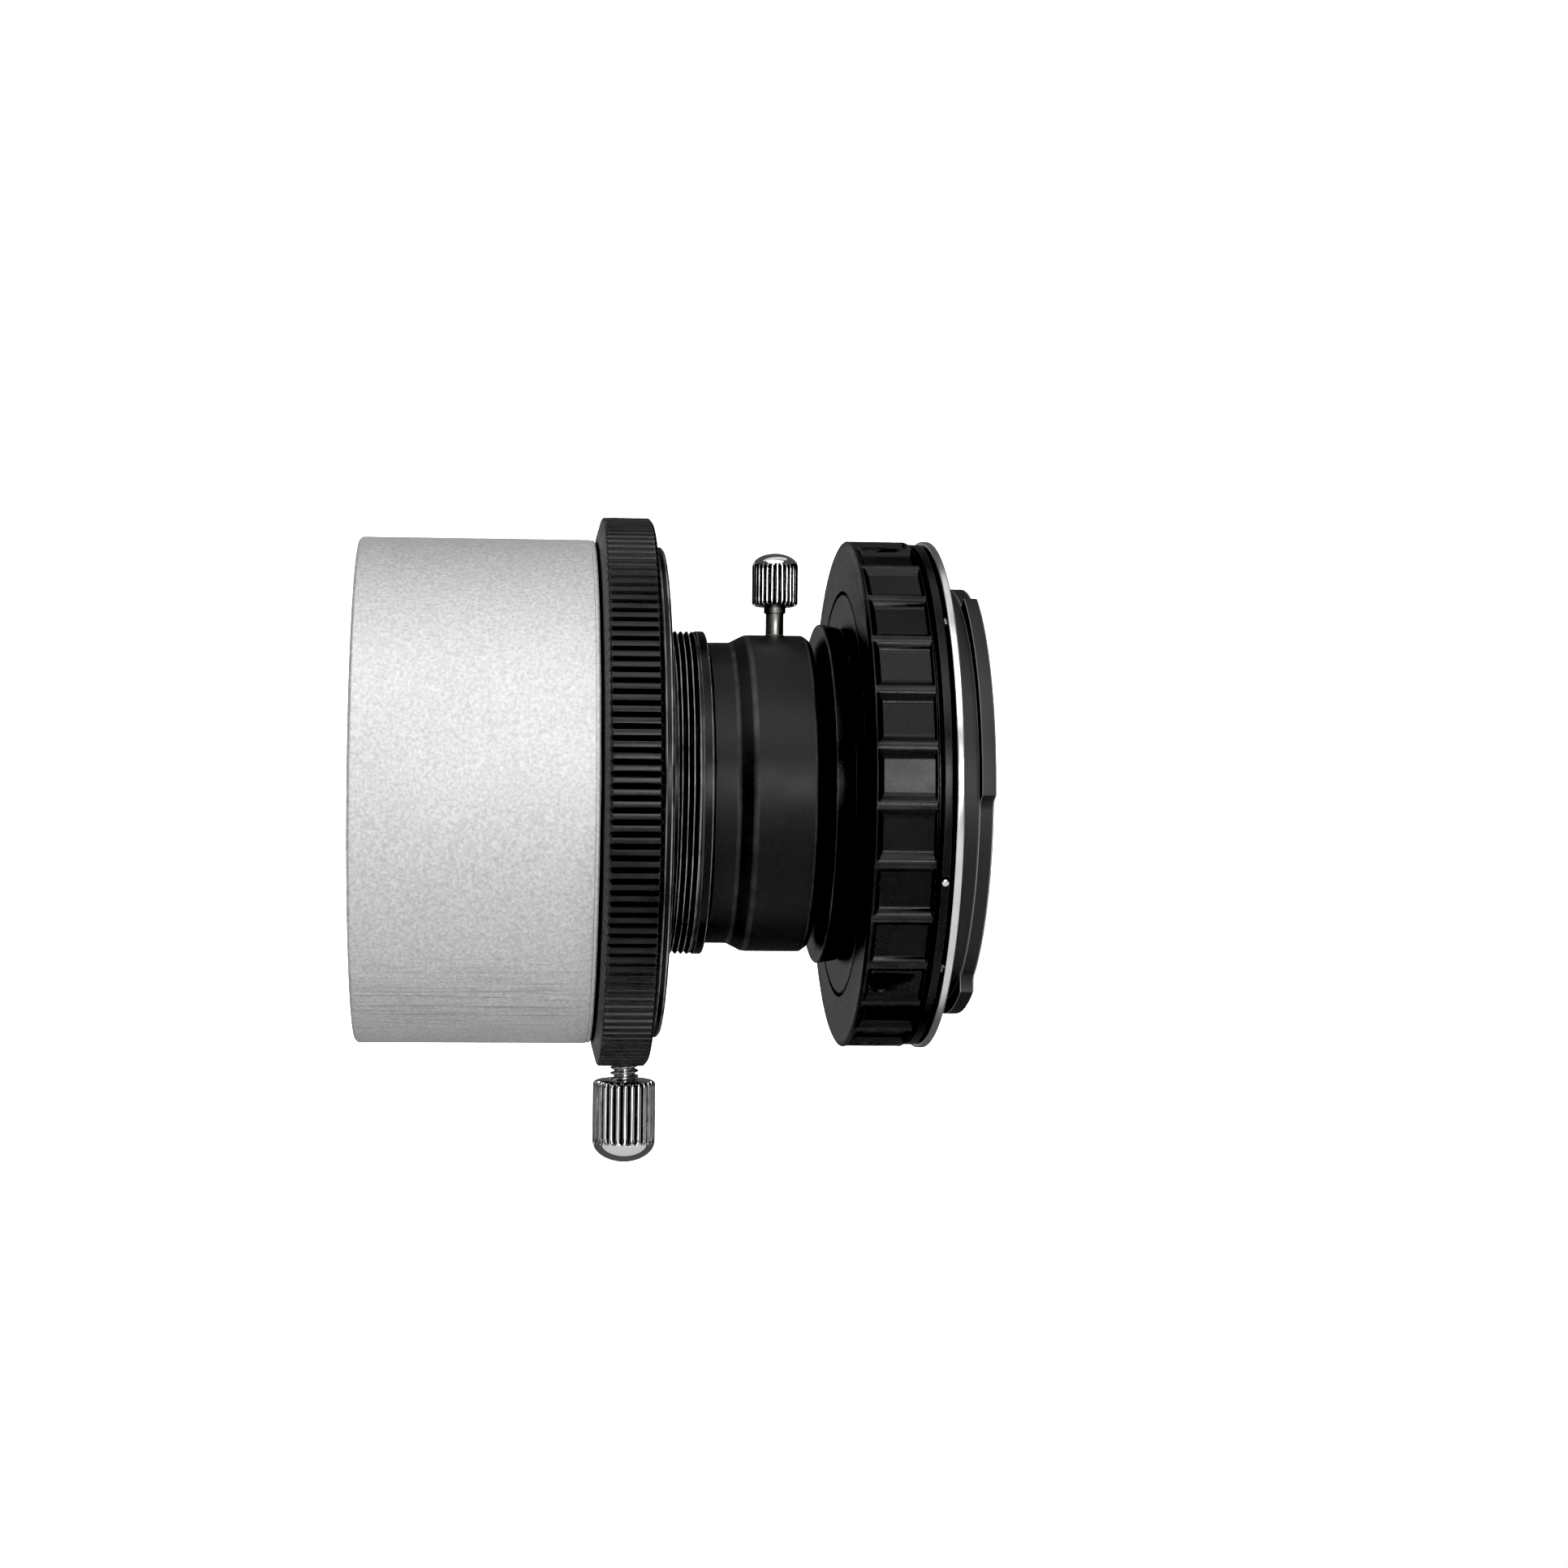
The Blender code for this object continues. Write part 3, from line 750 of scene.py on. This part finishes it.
def t_ring_inner(look):
    """Ring with a V groove outside for the set screws and a helical thread in its bore.

    The thread's radius is r - 0.25 * |2 * part of (a / pitch - t / 2 pi) after its point - 1|,
    a triangle wave that winds along the axis.
    """
    start, end, outer = span("t_ring_inner")
    thread_r = T2_CREST
    notch, notch_half = 65.1, 0.9
    depth = 0.25
    corners = [
        (start, thread_r + 0.35, 0.1), (start, outer - 0.25, 0.1), (start + 0.25, outer, 0.1),
        (notch - notch_half, outer, 0.0), (notch, outer - notch_half, 0.0),
        (notch + notch_half, outer, 0.0), (end, outer, 0.2), (end, thread_r, 0.2),
    ]
    corners += rows(start + 0.6, end - 0.3, thread_r + depth, T2_PITCH / 10)[::-1]
    outline, edge = rounded(corners)

    def radius(along, reach, angle):
        wave = np.abs(2.0 * ((along / T2_PITCH - angle / TURN) % 1.0) - 1.0)
        return np.where(reach < thread_r + 0.3, reach - depth * wave, reach)

    piece = turned("thread_ring", outline, edge, 192, radius)
    dress(piece, "nosepiece", "black_anodised", look["ring"], "t_ring_inner")


def t_ring_outer(look):
    """Grip ring. Each recess has a flat floor and sloping walls, with a narrow rib between two.

    Depth is the smaller of two ramps: one across the ring, from the rib's crest down to
    the floor, and one along it, from the front lip. A flat floor's radius is its middle
    radius over cos of the angle from its middle.
    """
    start, end, _ = span("t_ring_outer")
    rim = 32.9
    split = span("t_ring_inner")[2] + GAP
    floor = rim - RIB_DEPTH
    throat, groove = 24.0, 31.3
    shelf = 70.0
    ramp = np.linspace(start + 0.6, start + 1.5, 9)
    corners = [(start, split, 0.12), (start, rim - 0.7, 0.25), (start + 0.35, rim, 0.2)]
    corners += [(place, rim, 0.0) for place in ramp]
    corners += [
        (shelf - 0.1, rim, 0.0), (shelf, rim, 0.0), (shelf + 0.1, rim, 0.0),
        (shelf + 0.2, rim - 0.05, 0.0), (shelf + 0.32, rim - 0.2, 0.0),
        (shelf + 0.4, groove, 0.1), (shelf + 0.8, groove, 0.1),
        (shelf + 0.85, rim - 0.45, 0.1), (shelf + 1.0, rim - 0.3, 0.1),
        (end - 0.15, rim - 0.3, 0.1), (end, rim - 0.45, 0.1),
        (end, throat, 0.3), (shelf, throat, 0.1), (shelf, split, 0.1),
    ]
    outline, edge = rounded(corners, 6)
    # The grip ring's rounded edges take little of the pale edge tone, which is partly wear and
    # partly a painted highlight.
    edge = edge * 0.15
    middle = RIB_PHASE + RIB_SHARE / 2 * TURN / RIBS

    def across(angle):
        return np.abs((RIBS * (angle - middle) / TURN + 0.5) % 1.0 - 0.5)

    def ribs(along, reach, angle):
        side = smooth(RIB_CREST / 2, RIB_CREST / 2 + RIB_SLOPE, across(angle))
        front = smooth(start + 0.55, start + 1.35, along)
        back = 1.0 - smooth(shelf - 0.15, shelf + 0.15, along)
        flat = floor / np.cos((0.5 - across(angle)) * TURN / RIBS)
        level = rim - (rim - flat) * np.minimum(side, np.minimum(front, back))
        inside = (along < shelf + 0.38) & (reach > floor - 0.3)
        return np.where(inside, np.minimum(reach, level), reach)

    # Paler rib crest edges: partly real wear, partly a painted highlight.
    def rib_wear_and_glint(along, reach, angle):
        near = np.abs(across(angle) - RIB_CREST / 2)
        return 0.8 * (1.0 - smooth(0.0, 0.03, near)) * (reach > rim - 0.1) * (along < shelf + 0.3)

    piece = turned("grip_ring", outline, edge, RIBS * 32, ribs, wear_glint_and_shade=rib_wear_and_glint)
    for number in range(3):
        node = "set_screw_" + str(number + 1)
        low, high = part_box(node)
        middle = (low + high) / 2
        toward = Vector((0.0, middle.y, middle.z)).normalized()
        x = middle.x / MM
        cut_hole(piece, 1.6, split - 1.0, floor - 0.05, x, toward, 0.2)
        set_screw(node, look, x, toward)
    low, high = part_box("index_peg")
    middle = (low + high) / 2
    toward = Vector((0.0, middle.y, middle.z)).normalized()
    cut_hole(piece, 0.6, 30.4, rim - 0.1, middle.x / MM, toward, 0.0)
    dress(piece, "camera_ring", "black_anodised", look["ring"], "t_ring_outer")
    foot, top, peg_r = 30.7, 33.3, 0.45
    corners = [(foot, 0.0, 0.0), (foot, peg_r, 0.0), (top - 0.15, peg_r, 0.12), (top, 0.0, 0.0)]
    shape, wear_and_glint_tone = rounded(corners, closed=False)
    peg = turned("index_pin", shape, wear_and_glint_tone, 32, x=middle.x / MM, toward=toward)
    dress(peg, "camera_ring", "bright_steel", look["pin"], "index_peg")


def set_screw(node, look, x, toward):
    """Grub screw: a cone point, a fine thread and a hexagon socket in its outer end.

    The socket's radius is half the hexagon's width over cos of the angle from the middle
    of the nearest flat.
    """
    flats, socket, crest = 0.65, 0.75, 1.3
    tip, cone, top, floor = 25.6, 26.4, 29.6, 28.4
    low, high = 26.5, 29.3
    corners = [(tip, 0.0), (cone, crest)]
    corners += [tuple(row[:2]) for row in rows(low, high, crest, 0.04)]
    corners += [(top, 1.1), (top, socket), (floor, socket), (floor, 0.0)]
    thread, _ = helix(M2_6_PITCH, 0.22, 26.6, high, 0.2)

    def radius(along, reach, angle):
        flat = flats / np.cos((angle % (TURN / 6)) - TURN / 12)
        return np.where(np.isclose(reach, socket), flat, thread(along, reach, angle))

    piece = turned(node + "_grub", corners, None, 48, radius, x=x, toward=toward)
    dress(piece, "camera_ring", "bright_steel", look["steel"], node)


def bayonet(look):
    """Plate and throat tube with three lugs, each a rim kept over half of a third of a turn.

    Between the lugs the radius of the rim falls back nearly to the throat tube's.
    """
    start, end, outer = span("bayonet_plate")
    face = start + 1.0
    bore, tube, lug_r, lug_x = 24.6, 26.7, 28.6, 76.2
    corners = [
        (start, bore, 0.1), (start, outer - 0.15, 0.15), (start + 0.15, outer, 0.12),
        (face - 0.15, outer, 0.12), (face, outer - 0.15, 0.1), (face, tube, 0.15),
        (lug_x, tube, 0.1), (lug_x, lug_r, 0.15), (end, lug_r, 0.3), (end, bore + 0.6, 0.3),
        (face, bore, 0.3),
    ]
    outline, edge = rounded(corners)

    def lugs(along, reach, angle):
        place = (3 * angle / TURN) % 1.0
        gap = smooth(0.5, 0.515, place) * (1.0 - smooth(0.985, 1.0, place))
        root = tube + 0.2
        return np.where((along > 75.0) & (reach > root), root + (reach - root) * (1 - gap), reach)

    plate = turned("mount_plate", outline, edge, 288, lugs)
    for number in range(4):
        node = "plate_screw_" + str(number + 1)
        low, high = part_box(node)
        middle = (low + high) / 2
        drill_plate(plate, middle, face)
        plate_screw(node, look, low.x / MM, high.x / MM, middle)
    dress(plate, "camera_ring", "nickel_plate", look["nickel"], "bayonet_plate")


def drill_plate(plate, middle, face):
    """Stepped hole for one screw, through the plate along X."""
    hole, sink, step = 1.05, 1.85, face - 0.65
    corners = [(face - 3.0, 0.0), (face - 3.0, hole), (step, hole), (step, sink)]
    corners += [(face + 1.0, sink), (face + 1.0, 0.0)]
    cutter = turned("cutter", corners, count=40)
    cutter.data.transform(Matrix.Translation((0.0, middle.y, middle.z)))
    cut_away(plate, cutter)


def plate_screw(node, look, low, high, middle):
    """Small screw along X with a cross recess: the head sinks where |y| or |z| is small."""
    rings = np.linspace(1.6, 0.0, 18)
    head = np.stack([np.full(18, high), rings], 1)
    under, shank_r, head_r = high - 0.45, 0.8, 1.65
    shank = [(low, 0.0), (low, 0.6), (low + 0.2, shank_r), (under, shank_r)]
    shank += [(under, head_r), (high - 0.08, head_r)]
    outline = np.concatenate([np.array(shank), head])

    def sink(along, reach, angle):
        y, z = np.abs(reach * np.cos(angle)), np.abs(reach * np.sin(angle))
        bar = 1.0 - smooth(0.10, 0.20, np.minimum(y, z))
        deep = bar * (1.0 - smooth(0.75, 0.95, reach))
        return np.where(along > high - 0.01, along - 0.35 * deep, along)

    piece = turned(node + "_cross", outline, None, 64, shift=sink)
    piece.data.transform(Matrix.Translation((0.0, middle.y, middle.z)))
    dress(piece, "camera_ring", "bright_steel", look["steel"], node)


# ---------------------------------------------------------------- studio

def lamp(name, place, target, size, power):
    """Rectangular soft light at a place, facing a target. Sizes are in metres."""
    data = bpy.data.lights.new(name, "AREA")
    data.shape = "RECTANGLE"
    data.size, data.size_y = size
    data.energy = power
    made = bpy.data.objects.new(name, data)
    bpy.context.scene.collection.objects.link(made)
    made.location = place
    made.rotation_euler = (Vector(target) - Vector(place)).to_track_quat("-Z", "Y").to_euler()
    return made


def paper():
    """Matt white paper with a faint tooth."""
    made, tree, shader = blank("pale_paper", (0.86, 0.86, 0.86), 0.9, 0.0)
    place = add(tree, "ShaderNodeTexCoord").outputs["Object"]
    relief(tree, shader, noise(tree, place, 900.0), 0.05, 0.0002)
    return made


def sweep(name, depth, height, finish):
    """Sheet of paper: a line of (depth, height) points drawn out along X."""
    half = 2.6
    width = np.linspace(-half, half, 9)
    x, y = np.meshgrid(width, depth, indexing="ij")
    points = np.stack([x, y, np.broadcast_to(height, x.shape)], -1).reshape(-1, 3)
    number = np.arange(x.size).reshape(x.shape)
    faces = np.stack([number[:-1, :-1], number[1:, :-1], number[1:, 1:], number[:-1, 1:]], -1)
    mesh = bpy.data.meshes.new(name)
    mesh.from_pydata(points.tolist(), [], faces.reshape(-1, 4).tolist())
    mesh.shade_smooth()
    mesh.materials.append(finish)
    sheet = bpy.data.objects.new(name, mesh)
    bpy.context.scene.collection.objects.link(sheet)
    return sheet


def backdrop():
    """Pale floor that curves up into a wall: flat, a quarter circle, then upright.

    The part behind the object is kept out of reflections, so black finishes stay black.
    It is given back as a collection, for the lights that fall on it alone.
    """
    level, front, seam, wall, bend, top = -0.16, -0.62, 0.02, 0.75, 0.35, 2.2
    finish = paper()
    turn = np.linspace(0.0, np.pi / 2, 24)
    depth = np.concatenate([[seam], wall + bend * np.sin(turn), [wall + bend]])
    height = np.concatenate([[level], level + bend * (1 - np.cos(turn)), [top]])
    sweep("front_floor", np.array([front, seam]), np.array([level, level]), finish)
    back = sweep("back_sweep", depth, height, finish)
    back.visible_glossy = False
    lit = bpy.data.collections.new("paper_behind")
    lit.objects.link(back)
    return lit


def studio():
    """Soft light from the front, two lights for the paper only, and a dim room."""
    behind = backdrop()
    world = bpy.data.worlds.new("studio")
    bpy.context.scene.world = world
    world.use_nodes = True
    tree = world.node_tree
    seen = add(tree, "ShaderNodeLightPath").outputs["Is Camera Ray"]
    colour = mixed(tree, seen, (0.10, 0.10, 0.10), (0.9, 0.9, 0.9))
    tree.links.new(colour, tree.nodes["Background"].inputs["Color"])
    lamp("window", (0.24, -1.6, 0.22), (0.06, 0, 0), (0.50, 0.30), 8.8)
    lamp("sky", (0.0, -0.80, 0.80), (0.03, 0, 0), (1.3, 0.5), 5.8)
    lamp("slope", (0.0, -0.40, 0.95), (0.03, 0, 0), (1.3, 0.5), 2.6)
    lamp("top", (0.0, 0.10, 0.95), (0.03, 0, 0), (1.3, 0.5), 1.6)
    lamp("strip", (-0.12, -1.5, -0.20), (0.03, 0, -0.03), (0.55, 0.12), 1.1)
    lamp("left", (-0.42, 1.0, 0.05), (0.07, 0, 0), (0.5, 0.8), 0.6).visible_camera = False
    for light in (
        lamp("back", (0.05, 0.80, 0.80), (0.05, 0.80, -0.16), (1.6, 0.6), 9.0),
        lamp("wall", (0.0, 0.25, 1.1), (0.0, 1.1, 0.1), (1.8, 0.5), 8.0),
    ):
        light.data.spread = math.radians(72.0)
        light.visible_glossy = False
        light.light_linking.receiver_collection = behind


def camera():
    """Level view from the left of the object's middle, aimed at its middle."""
    eye = Vector((0.0167, -0.355, 0.0005))
    target = Vector((0.0390, 0.0, 0.0005))
    roll = math.radians(0.55)
    data = bpy.data.cameras.new("view")
    data.sensor_width = 36.0
    data.lens = 62.7
    made = bpy.data.objects.new("view", data)
    bpy.context.scene.collection.objects.link(made)
    made.location = eye
    turn = (target - eye).to_track_quat("-Z", "Y").to_euler()
    turn.y -= roll
    made.rotation_euler = turn
    data.shift_x = 0.0792
    data.shift_y = 0.0028
    data.clip_start = 0.01
    bpy.context.scene.camera = made


def contrast():
    """Plain tone response with its black point raised a little."""
    black = 0.012
    view = bpy.context.scene.view_settings
    view.view_transform = "Standard"
    view.use_curve_mapping = True
    view.curve_mapping.black_level = (black, black, black)
    view.curve_mapping.update()


def build():
    """Every piece, from the telescope's side to the camera's."""
    look = finishes()
    draw_tube(look)
    clamp_collar(look)
    split_ring("collar_compression_ring", "collar_ring", look)
    reducer_adapter(look)
    eyepiece_holder(look)
    split_ring("holder_compression_ring", "holder_ring", look)
    thumbscrews(look)
    nosepiece(look)
    grating_cell(look)
    t_ring_inner(look)
    t_ring_outer(look)
    bayonet(look)


camera()
studio()
build()
contrast()
